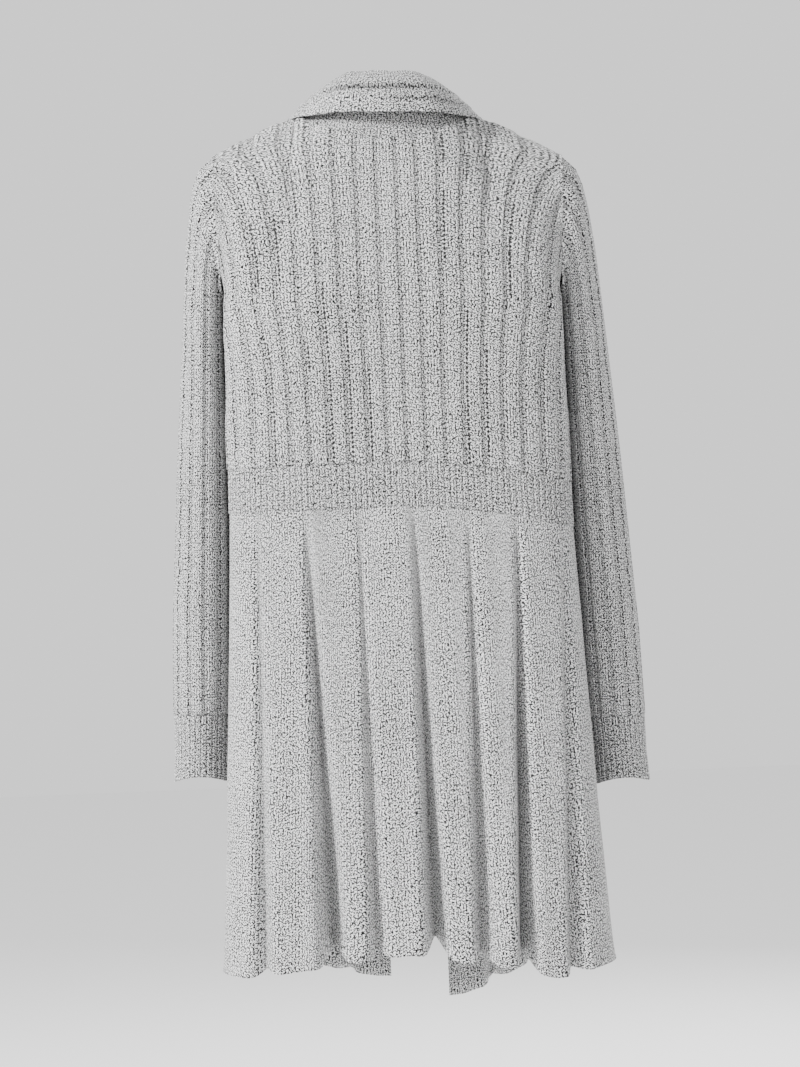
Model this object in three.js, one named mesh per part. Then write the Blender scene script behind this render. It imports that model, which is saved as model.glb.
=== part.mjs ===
// A long knitted cardigan with a ribbed body, a shawl collar and a flared skirt, filled out as on a
// wearer and open down the front. Millimetres, +Z up, the front faces -Y, the wearer's left is +X.
// The origin is the middle of the neck base, level with the two points where shoulder meets collar.
import * as THREE from "three";

// Cloth
const WALL = 2;
const RIB_RISE = 1.1;
const FINE_RIB_RISE = 0.7;
const SEAM_GAP = 0.3;
const YARN_GREY = "#b4b4b4";
const BAND_GREY = "#ababab";

// Body sections: height, half width, depth behind and depth in front of the middle
const BODY = [
  { z: -190, wide: 166, back: 92, front: 94 },
  { z: -280, wide: 167, back: 86, front: 94 },
  { z: -352, wide: 169, back: 82, front: 92 },
  { z: -395, wide: 170, back: 82, front: 92 },
  { z: -540, wide: 176, back: 92, front: 98 },
  { z: -690, wide: 184, back: 103, front: 106 },
  { z: -850, wide: 193, back: 112, front: 112 },
];
const CORNER_POWER = 3.2;
const FRONT_TAPER = 0.26;
const ARMPIT_Z = -190;
const WAIST_TOP_Z = -351;
const WAIST_BOTTOM_Z = -394;
const WAIST_DIP = 26;
const WAIST_HALF = 170;
const SHOULDER_TILT = 0.036;
const TILT_TOP_Z = -60;
const TILT_FOOT_Z = -320;

// Neck, shoulders and armholes
const NECK_HALF = 88;
const NECK_BACK_Z = -26;
const NECK_BACK_Y = 52;
const SHOULDER_HALF = 176;
const SHOULDER_DROP = 42;
const SHOULDER_Y = -2;
const ARMHOLE_HALF_DEPTH = 46;
const ARMHOLE_BOW = 3;
const ARMHOLE_STEP = 7.6;
const ARMHOLE_STEP_TOP = 0.9;

// Powers of the curves: higher ones keep a curve flat for longer before it turns
const NECK_SQUARENESS = 2.6;
const NECK_FULLNESS = 0.65;
const NECK_DIP_CURVE = 2.2;
const SHOULDER_CURVE = 1.15;
const ARMHOLE_CURVE = 1.25;
const STEP_CURVE = 0.55;
const YOKE_CURVE = 1.7;
const WAIST_SAG_CURVE = 1.6;

// Front edges: how far they stand from the middle, by height
const FRONT_EDGE = [
  { z: 0, out: 88 },
  { z: -95, out: 75 },
  { z: -190, out: 62 },
  { z: -351, out: 43 },
  { z: -900, out: 42 },
];
const FRONT_OPENING_HALF = 42;
const BAND_WIDTH = 12;

// Ribs
const RIB_PITCH = 18.7;
const RIB_SHARE = 0.64;
const FINE_PITCH = 5.9;

// Skirt: a row for each fold behind, by the place of its trough at waist and hem, then its depth at
// the hem, the width of its steep flank and that of its slow flank
const BACK_FOLDS = [
  { waist: 142, hem: 155, depth: 10, steep: 12, slow: 20 },
  { waist: 95, hem: 86, depth: 36, steep: 15, slow: 25 },
  { waist: 42, hem: 42, depth: 12, steep: 11, slow: 18 },
  { waist: -12, hem: -16, depth: 36, steep: 14, slow: 22 },
  { waist: -65, hem: -60, depth: 21, steep: 9, slow: 21 },
  { waist: -113, hem: -104, depth: 38, steep: 13, slow: 19 },
  { waist: -158, hem: -152, depth: 12, steep: 11, slow: 20 },
];
const LEFT_FRONT_FOLDS = [
  { waist: 148, hem: 152, depth: 17, steep: 13, slow: 20 },
  { waist: 112, hem: 113, depth: 26, steep: 14, slow: 19 },
  { waist: 76, hem: 72, depth: 15, steep: 12, slow: 17 },
];
const RIGHT_FRONT_FOLDS = [
  { waist: 150, hem: 155, depth: 20, steep: 13, slow: 18 },
  { waist: 114, hem: 117, depth: 15, steep: 12, slow: 19 },
  { waist: 78, hem: 77, depth: 27, steep: 14, slow: 18 },
];
const FOLD_GROWTH = 1.35;
const FOLD_LIFT = 0.5;

// Hem heights across the back and across each front, by sideways place
const BACK_HEM = [
  { x: -190, z: -853 },
  { x: -137, z: -864 },
  { x: -85, z: -849 },
  { x: -36, z: -842 },
  { x: 4, z: -833 },
  { x: 60, z: -839 },
  { x: 110, z: -845 },
  { x: 170, z: -853 },
  { x: 191, z: -850 },
];
const FRONT_HEM_SIDE_Z = -852;
const LEFT_FRONT_HEM_Z = -885;
const RIGHT_FRONT_HEM_Z = -908;

// Sleeves: a row for each ring, by its outer and inner rail, half depth and middle Y
const SLEEVE = [
  { outX: 188, outZ: -55, inX: 170, inZ: -191, deep: 48.5, y: -2 },
  { outX: 194, outZ: -70, inX: 171.5, inZ: -195, deep: 49, y: -3 },
  { outX: 199, outZ: -94, inX: 172, inZ: -203, deep: 50, y: -5 },
  { outX: 204, outZ: -132, inX: 172, inZ: -218, deep: 50, y: -7 },
  { outX: 209, outZ: -188, inX: 172.5, inZ: -246, deep: 49, y: -9 },
  { outX: 215, outZ: -260, inX: 173, inZ: -296, deep: 47, y: -12 },
  { outX: 222, outZ: -344, inX: 174, inZ: -362, deep: 45, y: -14 },
  { outX: 228, outZ: -430, inX: 176, inZ: -438, deep: 43, y: -17 },
  { outX: 234, outZ: -516, inX: 179, inZ: -519, deep: 41, y: -19 },
  { outX: 237, outZ: -602, inX: 182, inZ: -602, deep: 37, y: -21 },
];
const CUFF = [
  { outX: 237, outZ: -603, inX: 182.5, inZ: -603, deep: 36.5, y: -21 },
  { outX: 237.5, outZ: -640, inX: 185.5, inZ: -640, deep: 33.5, y: -22 },
  { outX: 240, outZ: -671, inX: 186, inZ: -673, deep: 34.5, y: -23 },
];
const CUFF_ARCH = 7;
const SLEEVE_RIBS = 13;
const SLEEVE_SEAM_TURN = 0.5;
const CUFF_RIBS = 32;

// Collar: a row for each station from the middle of the back to the waist. Seam is the sewn edge,
// roll is the top fold and fall is the free edge that lies outside.
const COLLAR_BACK = [
  { share: 0, roll: [0, 36, 37], fall: [0, 66, -3] },
  { share: 0.5, roll: [30, 33, 37], fall: [50, 57, -2] },
  { share: 0.85, roll: [47, 22, 33], fall: [84, 31, 1.5] },
  { share: 1, roll: [57, 2, 22], fall: [105, 2, 6] },
];
const COLLAR_LIFT = 0.9;
const NAPE_SHARE = 0.4;
const COLLAR_FRONT = [
  { z: -25, roll: [62, -28, 2], fall: [113, -28, -15] },
  { z: -80, roll: [60, -66, -48], fall: [112, -62, -66] },
  { z: -150, roll: [50, -90, -135], fall: [98, -98, -135] },
  { z: -240, roll: [39, -101, -236], fall: [76, -104, -236] },
  { z: -310, roll: [32, -102, -310], fall: [56, -104, -310] },
  { z: -350, roll: [30.5, -96, -350], fall: [45, -98, -350] },
];

const lerp = (a, b, t) => a + (b - a) * t;
const clamp = (t) => Math.min(1, Math.max(0, t));
const smooth = (t) => clamp(t) ** 2 * (3 - 2 * clamp(t));
const point = (x, y, z) => new THREE.Vector3(x, y, z);

// The value of one named column of a table at a place, in straight steps between its rows.
function read(table, key, at, column) {
  const rising = table[1][key] > table[0][key];
  let i = 0;
  while (i < table.length - 2 && (rising ? at > table[i + 1][key] : at < table[i + 1][key])) i++;
  const share = clamp((at - table[i][key]) / (table[i + 1][key] - table[i][key]));
  return lerp(table[i][column], table[i + 1][column], share);
}

// One level section of the body, as a closed loop that is walked by its share of the way round:
// 0 is the middle of the back, a quarter is the wearer's left side, a half is the middle of the front.
const RING_STEPS = 240;
const rings = new Map();
function ring(z) {
  if (rings.has(z)) return rings.get(z);
  const [wide, back, front] = ["wide", "back", "front"].map((c) => read(BODY, "z", z, c));
  const corner = (t) => Math.sign(t) * Math.abs(t) ** (2 / CORNER_POWER);
  const shape = (angle) => {
    const x = corner(Math.sin(angle)) * (1 - (FRONT_TAPER * (1 - Math.cos(angle))) / 2);
    const y = corner(Math.cos(angle));
    return [x, y * (y > 0 ? back : front)];
  };
  const points = [];
  for (let i = 0; i <= RING_STEPS; i++) points.push(shape((2 * Math.PI * i) / RING_STEPS));
  const widest = Math.max(...points.map((q) => q[0]));
  for (const q of points) q[0] *= wide / widest;
  const run = [0];
  for (let i = 1; i <= RING_STEPS; i++)
    run.push(run[i - 1] + Math.hypot(points[i][0] - points[i - 1][0], points[i][1] - points[i - 1][1]));
  const girth = run[RING_STEPS];
  const at = (share) => {
    const along = (((share % 1) + 1) % 1) * girth;
    let i = 0;
    while (i < RING_STEPS - 1 && run[i + 1] < along) i++;
    const t = (along - run[i]) / (run[i + 1] - run[i]);
    return [lerp(points[i][0], points[i + 1][0], t), lerp(points[i][1], points[i + 1][1], t)];
  };
  // The share of the way round at a sideways place on the wearer's left, behind or in front.
  const shareAt = (x, behind) => {
    let [low, high] = behind ? [0, 0.2] : [0.5, 0.28];
    for (let i = 0; i < 24; i++) {
      const middle = (low + high) / 2;
      if (at(middle)[0] < x) low = middle;
      else high = middle;
    }
    return low;
  };
  const made = { at, girth, shareAt };
  rings.set(z, made);
  return made;
}

// The waist sags towards the wearer's right side, and the shoulders stand a little aslant.
const waistDip = (x) => -WAIST_DIP * clamp(-x / WAIST_HALF) ** WAIST_SAG_CURVE;
function settle(p) {
  const high = smooth((p.z - TILT_FOOT_Z) / (TILT_TOP_Z - TILT_FOOT_Z));
  return point(p.x, p.y, p.z + SHOULDER_TILT * p.x * high);
}

// Walls. A surface takes a share across and a share up, and gives the point on the inside of the
// cloth. The outside stands off it by the wall and by the rib that is there.
function unitNormal(surface, across, up, turn) {
  const step = 0.004;
  const [a0, a1] = [across - step, across + step];
  const [u0, u1] = [Math.max(0, up - step), Math.min(1, up + step)];
  const alongAcross = surface(a1, up).sub(surface(a0, up));
  const alongUp = surface(across, u1).sub(surface(across, u0));
  return alongAcross.cross(alongUp).normalize().multiplyScalar(turn);
}

// Joins an outer and an inner row of points that run side by side.
function zip(faces, outer, outerShares, inner, innerShares) {
  let [i, j] = [0, 0];
  while (i < outer.length - 1 || j < inner.length - 1) {
    const nextOuter = i < outer.length - 1 ? outerShares[i + 1] : Infinity;
    const nextInner = j < inner.length - 1 ? innerShares[j + 1] : Infinity;
    if (nextOuter <= nextInner) {
      faces.push(outer[i + 1], outer[i], inner[j]);
      i++;
    } else {
      faces.push(inner[j], inner[j + 1], outer[i]);
      j++;
    }
  }
}

function wall(name, surface, { outerAcross, innerAcross, ups, rise, turn, closed, colour }) {
  const places = [];
  const faces = [];
  const grid = (acrosses, height) =>
    ups.map((up) =>
      acrosses.map((across) => {
        const base = surface(across, up);
        const lift = height(across, up);
        if (lift) base.addScaledVector(unitNormal(surface, across, up, turn), lift);
        const p = settle(base);
        places.push(p.x, p.y, p.z);
        return places.length / 3 - 1;
      }),
    );
  const shut = (list) => (closed ? list.slice(0, -1) : list);
  const loop = (row) => (closed ? [...row, row[0]] : row);
  const outer = grid(shut(outerAcross), (across, up) => WALL + rise(across, up)).map(loop);
  const inner = grid(shut(innerAcross), () => 0).map(loop);
  const skin = (rows, flipped) => {
    for (let r = 0; r < rows.length - 1; r++)
      for (let c = 0; c < rows[r].length - 1; c++) {
        const [a, b] = [rows[r][c], rows[r][c + 1]];
        const [d, e] = [rows[r + 1][c], rows[r + 1][c + 1]];
        if (flipped) faces.push(a, e, b, a, d, e);
        else faces.push(a, b, e, a, e, d);
      }
  };
  skin(outer, false);
  skin(inner, true);
  const last = ups.length - 1;
  const back = (list) => [...list].reverse();
  const away = (list) => back(list).map((t) => -t);
  zip(faces, outer[0], outerAcross, inner[0], innerAcross);
  zip(faces, back(outer[last]), away(outerAcross), back(inner[last]), away(innerAcross));
  if (!closed) {
    const column = (rows, c) => rows.map((row) => row.at(c));
    zip(faces, column(outer, -1), ups, column(inner, -1), ups);
    zip(faces, back(column(outer, 0)), away(ups), back(column(inner, 0)), away(ups));
  }
  if (turn < 0) for (let i = 0; i < faces.length; i += 3) [faces[i], faces[i + 1]] = [faces[i + 1], faces[i]];
  const geometry = new THREE.BufferGeometry();
  geometry.setAttribute("position", new THREE.Float32BufferAttribute(places, 3));
  geometry.setIndex(faces);
  geometry.computeVertexNormals();
  const material = new THREE.MeshStandardMaterial({ color: colour, roughness: 0.95, metalness: 0 });
  const mesh = new THREE.Mesh(geometry, material);
  mesh.name = name;
  return mesh;
}

const even = (count) => Array.from({ length: count + 1 }, (_, i) => i / count);

// Places across a ribbed wall: four for each rib, at the foot and the crown of both its flanks.
function ribPlaces(count) {
  const [crown, foot] = [RIB_SHARE / 2, (1 - RIB_SHARE) / 2 - 0.06];
  const places = [0];
  for (let i = 0; i < count; i++)
    for (const t of [foot, 0.5 - crown + 0.06, 0.5 + crown - 0.06, 1 - foot]) places.push((i + t) / count);
  return [...places, 1];
}
const ribRise = (count) => (across) => {
  const inRib = (((across * count) % 1) + 1) % 1;
  return RIB_RISE * smooth((RIB_SHARE / 2 + 0.03 - Math.abs(inRib - 0.5)) / 0.08);
};
const fineRise = (count) => (across) => (Math.round(across * count * 2) % 2 ? FINE_RIB_RISE : 0);

// Body panels. A panel's sides are shares of the way round, held off their neighbours by half a gap.
const SIDE = 0.25;
const frontShare = (z, out) => {
  const level = Math.min(z, ARMPIT_Z);
  return ring(level).shareAt(out, false);
};
const halfGap = (z) => SEAM_GAP / 2 / ring(z).girth;
const onRing = (z, share, height) => {
  const [x, y] = ring(z).at(share);
  return point(x, y, height ?? z);
};
const armpit = onRing(ARMPIT_Z, SIDE);
const shoulderTip = point(SHOULDER_HALF, SHOULDER_Y, -SHOULDER_DROP);

// The armhole's edge on the wearer's left: 0 is its top, a quarter is behind, a half is the armpit.
function armhole(turn) {
  const angle = 2 * Math.PI * turn;
  const high = (1 + Math.cos(angle)) / 2;
  const p = armpit.clone().lerp(shoulderTip, high);
  p.x = lerp(armpit.x, shoulderTip.x, high ** ARMHOLE_CURVE) + ARMHOLE_BOW * Math.sin(angle) ** 2;
  p.y += ARMHOLE_HALF_DEPTH * Math.sin(angle);
  return p;
}

function shoulderLine(x, y) {
  const out = Math.max(0, (Math.abs(x) - NECK_HALF) / (SHOULDER_HALF - NECK_HALF));
  return point(x, y, -SHOULDER_DROP * out ** SHOULDER_CURVE);
}
const neckY = (near) => NECK_BACK_Y * (1 - near ** NECK_SQUARENESS) ** NECK_FULLNESS;
const neckZ = (near) => NECK_BACK_Z * (1 - near ** NECK_DIP_CURVE);
function backTop(side) {
  const x = side * SHOULDER_HALF;
  const near = Math.abs(x) / NECK_HALF;
  if (near >= 1) return shoulderLine(x, SEAM_GAP / 2 + SHOULDER_Y * ((near - 1) ** 2));
  return point(x, SEAM_GAP / 2 + neckY(near), neckZ(near));
}

// The panel above the armpit level: from the level section up to the shoulder and neck, its side
// drawn to the armhole.
function yoke(low, top, side, foot, head, edgeShare, up) {
  const lift = up ** YOKE_CURVE;
  const between = (a, b) => point(lerp(a.x, b.x, up), lerp(a.y, b.y, lift), lerp(a.z, b.z, up));
  const p = between(low, top);
  const pull = side.clone().sub(between(foot, head));
  return p.addScaledVector(pull, edgeShare ** 3);
}

const BODICE_LOW = (ARMPIT_Z - WAIST_TOP_Z) / (ARMPIT_Z - WAIST_TOP_Z + 150);
function backBodice(across, up) {
  const side = across * 2 - 1;
  const sign = Math.sign(side) || 1;
  if (up < BODICE_LOW) {
    const t = up / BODICE_LOW;
    const z = lerp(WAIST_TOP_Z, ARMPIT_Z, t);
    const share = side * (SIDE - halfGap(z));
    const p = onRing(z, share);
    p.z += (waistDip(p.x) + SEAM_GAP) * (1 - t);
    return p;
  }
  const t = clamp((up - BODICE_LOW) / (1 - BODICE_LOW));
  const low = onRing(ARMPIT_Z, side * (SIDE - halfGap(ARMPIT_Z)));
  const edge = armhole(0.5 - t / 2);
  const [foot, head] = [armhole(0.5), backTop(1)];
  for (const p of [edge, foot, head]) p.x *= sign;
  return yoke(low, backTop(side), edge, foot, head, Math.abs(side), t);
}

const frontBodice = (sign) => (across, up) => {
  const t = up < BODICE_LOW ? up / BODICE_LOW : clamp((up - BODICE_LOW) / (1 - BODICE_LOW));
  const z = up < BODICE_LOW ? lerp(WAIST_TOP_Z, ARMPIT_Z, t) : ARMPIT_Z;
  const edgeShare = frontShare(z, read(FRONT_EDGE, "z", z, "out")) - halfGap(z);
  const low = onRing(z, lerp(SIDE + halfGap(z), edgeShare, across));
  if (up < BODICE_LOW) {
    low.z += (waistDip(low.x * sign) + SEAM_GAP) * (1 - t);
    low.x *= sign;
    return low;
  }
  const x = lerp(SHOULDER_HALF, NECK_HALF, across);
  const top = shoulderLine(x, -SEAM_GAP / 2 + SHOULDER_Y * (1 - across));
  const head = shoulderLine(SHOULDER_HALF, -SEAM_GAP / 2 + SHOULDER_Y);
  const p = yoke(low, top, armhole(0.5 + t / 2), armhole(0.5), head, 1 - across, t);
  p.x *= sign;
  return p;
};

// The waistband: level sections between two lines that both sag to the wearer's right.
const bandHeight = (up) => lerp(WAIST_BOTTOM_Z + SEAM_GAP, WAIST_TOP_Z - SEAM_GAP / 2, up);
const dipped = (p) => point(p.x, p.y, p.z + waistDip(p.x));
const backWaist = (across, up) => {
  const z = bandHeight(up);
  return dipped(onRing(z, (across * 2 - 1) * (SIDE - halfGap(z))));
};
const frontWaist = (sign) => (across, up) => {
  const z = bandHeight(up);
  const edgeShare = frontShare(z, FRONT_OPENING_HALF + SEAM_GAP);
  const p = onRing(z, lerp(SIDE + halfGap(z), edgeShare, across));
  return dipped(point(p.x * sign, p.y, p.z));
};

// The skirt. Its lower edge follows the hem, and each fold is a trough pressed in from the round.
const SKIRT_TOP_Z = WAIST_BOTTOM_Z - SEAM_GAP;
const HEM_Z = BODY.at(-1).z;
const levelAt = (up) => lerp(HEM_Z, SKIRT_TOP_Z, up);
function foldPlaces(folds, z, behind) {
  const down = clamp((SKIRT_TOP_Z - z) / (SKIRT_TOP_Z - HEM_Z));
  const grown = down ** FOLD_GROWTH;
  const section = ring(z);
  return folds.map((fold) => {
    const x = lerp(fold.waist, fold.hem, down);
    const share = section.shareAt(Math.abs(x), behind) * (behind ? Math.sign(x) : 1);
    const spread = lerp(0.45, 1, down) / section.girth;
    return { share, depth: fold.depth * grown, steep: fold.steep * spread, slow: fold.slow * spread };
  });
}
function troughDepth(places, share) {
  let depth = 0;
  for (const fold of places) {
    const off = share - fold.share;
    const reach = off > 0 ? fold.steep : fold.slow;
    if (Math.abs(off) > reach) continue;
    depth = Math.max(depth, fold.depth * Math.cos((Math.PI / 2) * (off / reach)) ** 2);
  }
  return depth;
}
const placesMemo = new Map();
function placesAt(name, folds, z, behind) {
  const label = name + z.toFixed(2);
  if (!placesMemo.has(label)) placesMemo.set(label, foldPlaces(folds, z, behind));
  return placesMemo.get(label);
}
function skirtPoint(z, share, places, hemZ, sign) {
  const depth = troughDepth(places, share);
  const [x, y] = ring(z).at(share);
  const [x0, y0] = ring(z).at(share - 0.003);
  const [x1, y1] = ring(z).at(share + 0.003);
  const inward = point(-(y0 - y1), x0 - x1, 0).normalize();
  if (inward.x * x + inward.y * y > 0) inward.negate();
  const down = (SKIRT_TOP_Z - z) / (SKIRT_TOP_Z - HEM_Z);
  const p = point((x + inward.x * depth) * sign, y + inward.y * depth, z);
  p.z = lerp(SKIRT_TOP_Z + waistDip(p.x), hemZ(p.x) + FOLD_LIFT * depth, down);
  return p;
}

// Places across a skirt panel: at the lip, flank and bottom of every trough, and between troughs.
function foldedPlaces(name, folds, behind, start, end) {
  return (across, up) => {
    const z = levelAt(up);
    const places = placesAt(name, folds, z, behind);
    const marks = [start(z)];
    for (const fold of [...places].sort((a, b) => a.share - b.share)) {
      const lip = marks.length > 1 ? marks.at(-1) : marks[0];
      const first = Math.max(fold.share - fold.slow, lip + 0.0012);
      marks.push((lip + first) / 2, first, (first + fold.share) / 2, fold.share);
      marks.push(fold.share + fold.steep / 2, fold.share + fold.steep);
    }
    const stop = end(z);
    marks.push(lerp(marks.at(-1), stop, 0.5), stop);
    const along = across * (marks.length - 1);
    const i = Math.min(marks.length - 2, Math.max(0, Math.floor(along)));
    return lerp(marks[i], marks[i + 1], along - i);
  };
}
const marksOf = (folds) => even(folds.length * 6 + 2);
const backHem = (x) => read(BACK_HEM, "x", x, "z");
const frontHem = (low) => (x) => lerp(low, FRONT_HEM_SIDE_Z, smooth((Math.abs(x) - 30) / 150));
const backPlace = foldedPlaces("back", BACK_FOLDS, true, (z) => -SIDE + halfGap(z), (z) => SIDE - halfGap(z));
const backSkirt = (across, up) => {
  const z = levelAt(up);
  return skirtPoint(z, backPlace(across, up), placesAt("back", BACK_FOLDS, z, true), backHem, 1);
};
const frontSkirt = (name, folds, hemZ, sign) => {
  const edge = (z) => frontShare(z, FRONT_OPENING_HALF + SEAM_GAP);
  const place = foldedPlaces(name, folds, false, (z) => SIDE + halfGap(z), edge);
  return (across, up) => {
    const z = levelAt(up);
    return skirtPoint(z, place(across, up), placesAt(name, folds, z, false), hemZ, sign);
  };
};

// The narrow band down each front edge, from the top of the waistband to the hem.
const frontBand = (hemZ, sign) => (across, up) => {
  const z = lerp(HEM_Z, WAIST_TOP_Z - SEAM_GAP, up);
  const edge = frontShare(z, FRONT_OPENING_HALF);
  const p = onRing(z, edge + (across * BAND_WIDTH) / ring(z).girth);
  const down = clamp((SKIRT_TOP_Z - z) / (SKIRT_TOP_Z - HEM_Z));
  const x = p.x * sign;
  return point(x, p.y, z + waistDip(x) * (1 - down) + (hemZ(x) - HEM_Z) * down);
};

// Sleeves and cuffs: rings hung between an outer rail, an inner rail and their half depth, walked from
// the seam under the arm. A sleeve's first ring lies just off the armhole, and the thickness of the
// body's wall away at the armpit.
const ringPoint = (row, turn) => {
  const angle = 2 * Math.PI * turn;
  const [middleX, middleZ] = [(row.outX + row.inX) / 2, (row.outZ + row.inZ) / 2];
  const [halfX, halfZ] = [(row.outX - row.inX) / 2, (row.outZ - row.inZ) / 2];
  const round = Math.cos(angle);
  return point(middleX + halfX * round, row.y + row.deep * Math.sin(angle), middleZ + halfZ * round);
};
function sleeve(rows, sign, headed, arch) {
  return (across, up) => {
    const turn = across + SLEEVE_SEAM_TURN;
    const along = (1 - up) * (rows.length - 1 + (headed ? 1 : 0));
    const i = Math.min(rows.length - (headed ? 1 : 2), Math.floor(along));
    const at = (k) => {
      if (headed && k === 0) {
        const p = armhole(turn);
        const high = (1 + Math.cos(2 * Math.PI * turn)) / 2;
        p.x += SEAM_GAP + ARMHOLE_STEP_TOP + ARMHOLE_STEP * (1 - high) ** STEP_CURVE;
        return p;
      }
      return ringPoint(rows[headed ? k - 1 : k], turn);
    };
    const p = at(i).lerp(at(i + 1), along - i);
    p.z += arch * (1 - up) ** 2 * Math.sin(2 * Math.PI * turn) ** 2;
    p.x *= sign;
    return p;
  };
}

// The collar: a knitted strip sewn to the neck and to the slanting fronts, standing up to its roll
// and falling back outside. Stations run from the right side of the waist round the neck to the left.
function collarStation(along) {
  const [sign, t] = [Math.sign(along) || 1, Math.abs(along)];
  let made;
  if (t < NAPE_SHARE) {
    const share = t / NAPE_SHARE;
    const x = NECK_HALF * share;
    const seam = point(x, neckY(share), neckZ(share) + COLLAR_LIFT);
    const part = (column) => point(...[0, 1, 2].map((k) => mix(COLLAR_BACK, "share", share, column, k)));
    made = [seam, part("roll"), part("fall")];
  } else {
    const down = (t - NAPE_SHARE) / (1 - NAPE_SHARE);
    const z = lerp(0, WAIST_TOP_Z + 1, down);
    const level = Math.min(z, ARMPIT_Z);
    const out = read(FRONT_EDGE, "z", z, "out") - SEAM_GAP;
    const [ex, ey] = ring(level).at(frontShare(level, out));
    const up = clamp((z - ARMPIT_Z) / -ARMPIT_Z);
    const seam = point(z > ARMPIT_Z ? out : ex, ey * (1 - up ** YOKE_CURVE), z);
    const rows = [{ z: 0, roll: COLLAR_BACK.at(-1).roll, fall: COLLAR_BACK.at(-1).fall }, ...COLLAR_FRONT];
    const part = (column) => point(...[0, 1, 2].map((k) => mix(rows, "z", z, column, k)));
    made = [seam, part("roll"), part("fall")];
  }
  for (const p of made) {
    p.x *= sign;
    p.z += waistDip(p.x) * clamp((t - NAPE_SHARE) / (1 - NAPE_SHARE)) ** 5;
  }
  return made;
}
function mix(rows, key, at, column, k) {
  const flat = rows.map((row) => ({ [key]: row[key], value: row[column][k] }));
  return read(flat, key, at, "value");
}
function collar(across, up) {
  const [seam, roll, fall] = collarStation(across * 2 - 1);
  const out = fall.clone().sub(seam);
  const width = seam.distanceTo(roll);
  if (up < 0.5) {
    const t = up / 0.5;
    const p = seam.clone().lerp(roll, t);
    return p.addScaledVector(out.normalize(), -0.08 * width * Math.sin(Math.PI * t));
  }
  const t = (up - 0.5) / 0.5;
  const p = roll.clone().lerp(fall, t);
  const lift = fall.clone().sub(roll);
  const bulge = 0.12 * lift.length() * Math.sin(Math.PI * t);
  const aside = 0.4 * Math.min(1, Math.abs(p.x) / 60);
  const away = point(Math.sign(p.x) * aside, p.y >= 0 ? 1 : -1, 0.5).normalize();
  return p.addScaledVector(away, bulge);
}

// The whole garment
const garment = new THREE.Group();
const flat = () => 0;
const LEFT = { sign: 1, side: "left", turn: -1, hemZ: LEFT_FRONT_HEM_Z, folds: LEFT_FRONT_FOLDS };
const RIGHT = { sign: -1, side: "right", turn: 1, hemZ: RIGHT_FRONT_HEM_Z, folds: RIGHT_FRONT_FOLDS };
const add = (name, surface, options) =>
  garment.add(wall(name, surface, { closed: false, rise: flat, colour: YARN_GREY, ...options }));

const ribbed = (count) => ({ outerAcross: ribPlaces(count), innerAcross: even(count), rise: ribRise(count) });
function fineRibbed(count) {
  return { outerAcross: even(2 * count), innerAcross: even(24), rise: fineRise(count) };
}
const widthAt = (z, from, to) => (to - from) * ring(z).girth;
const yokeUps = even(5).slice(1).map((t) => lerp(BODICE_LOW, 1, t));
const bodiceUps = [...even(2).map((t) => t * BODICE_LOW), ...yokeUps];
const backWidth = widthAt(WAIST_TOP_Z, -SIDE, SIDE);
const frontWidth = widthAt(WAIST_TOP_Z, SIDE, frontShare(WAIST_TOP_Z, 43));
const skirtUps = even(8);

add("back_bodice", backBodice, { ...ribbed(Math.round(backWidth / RIB_PITCH)), ups: bodiceUps, turn: -1 });
add("back_waistband", backWaist, {
  ...fineRibbed(Math.round(backWidth / FINE_PITCH)),
  ups: [0, 1],
  turn: -1,
  colour: BAND_GREY,
});
add("back_skirt", backSkirt, {
  outerAcross: marksOf(BACK_FOLDS),
  innerAcross: marksOf(BACK_FOLDS),
  ups: skirtUps,
  turn: -1,
});
for (const { sign, side, turn, hemZ, folds } of [LEFT, RIGHT]) {
  const ribs = Math.round(frontWidth / RIB_PITCH);
  const hem = frontHem(hemZ);
  add(side + "_front_bodice", frontBodice(sign), { ...ribbed(ribs), ups: bodiceUps, turn });
  add(side + "_front_waistband", frontWaist(sign), {
    ...fineRibbed(Math.round(frontWidth / FINE_PITCH)),
    innerAcross: even(10),
    ups: [0, 1],
    turn,
    colour: BAND_GREY,
  });
  add(side + "_front_skirt", frontSkirt(side, folds, hem, sign), {
    outerAcross: marksOf(folds),
    innerAcross: marksOf(folds),
    ups: skirtUps,
    turn,
  });
  add(side + "_front_band", frontBand(hem, sign), {
    outerAcross: [0, 1],
    innerAcross: [0, 1],
    ups: even(10),
    turn,
    colour: BAND_GREY,
  });
  add(side + "_sleeve", sleeve(SLEEVE, sign, true, 0), {
    ...ribbed(SLEEVE_RIBS),
    innerAcross: even(16),
    ups: even(SLEEVE.length),
    turn: sign,
    closed: true,
  });
  add(side + "_cuff", sleeve(CUFF, sign, false, CUFF_ARCH), {
    ...fineRibbed(CUFF_RIBS),
    innerAcross: even(16),
    ups: even(CUFF.length - 1),
    turn: sign,
    closed: true,
    colour: BAND_GREY,
  });
}
add("shawl_collar", collar, { outerAcross: even(32), innerAcross: even(32), ups: even(8), turn: 1 });

export default garment;
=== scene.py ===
import math

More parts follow.
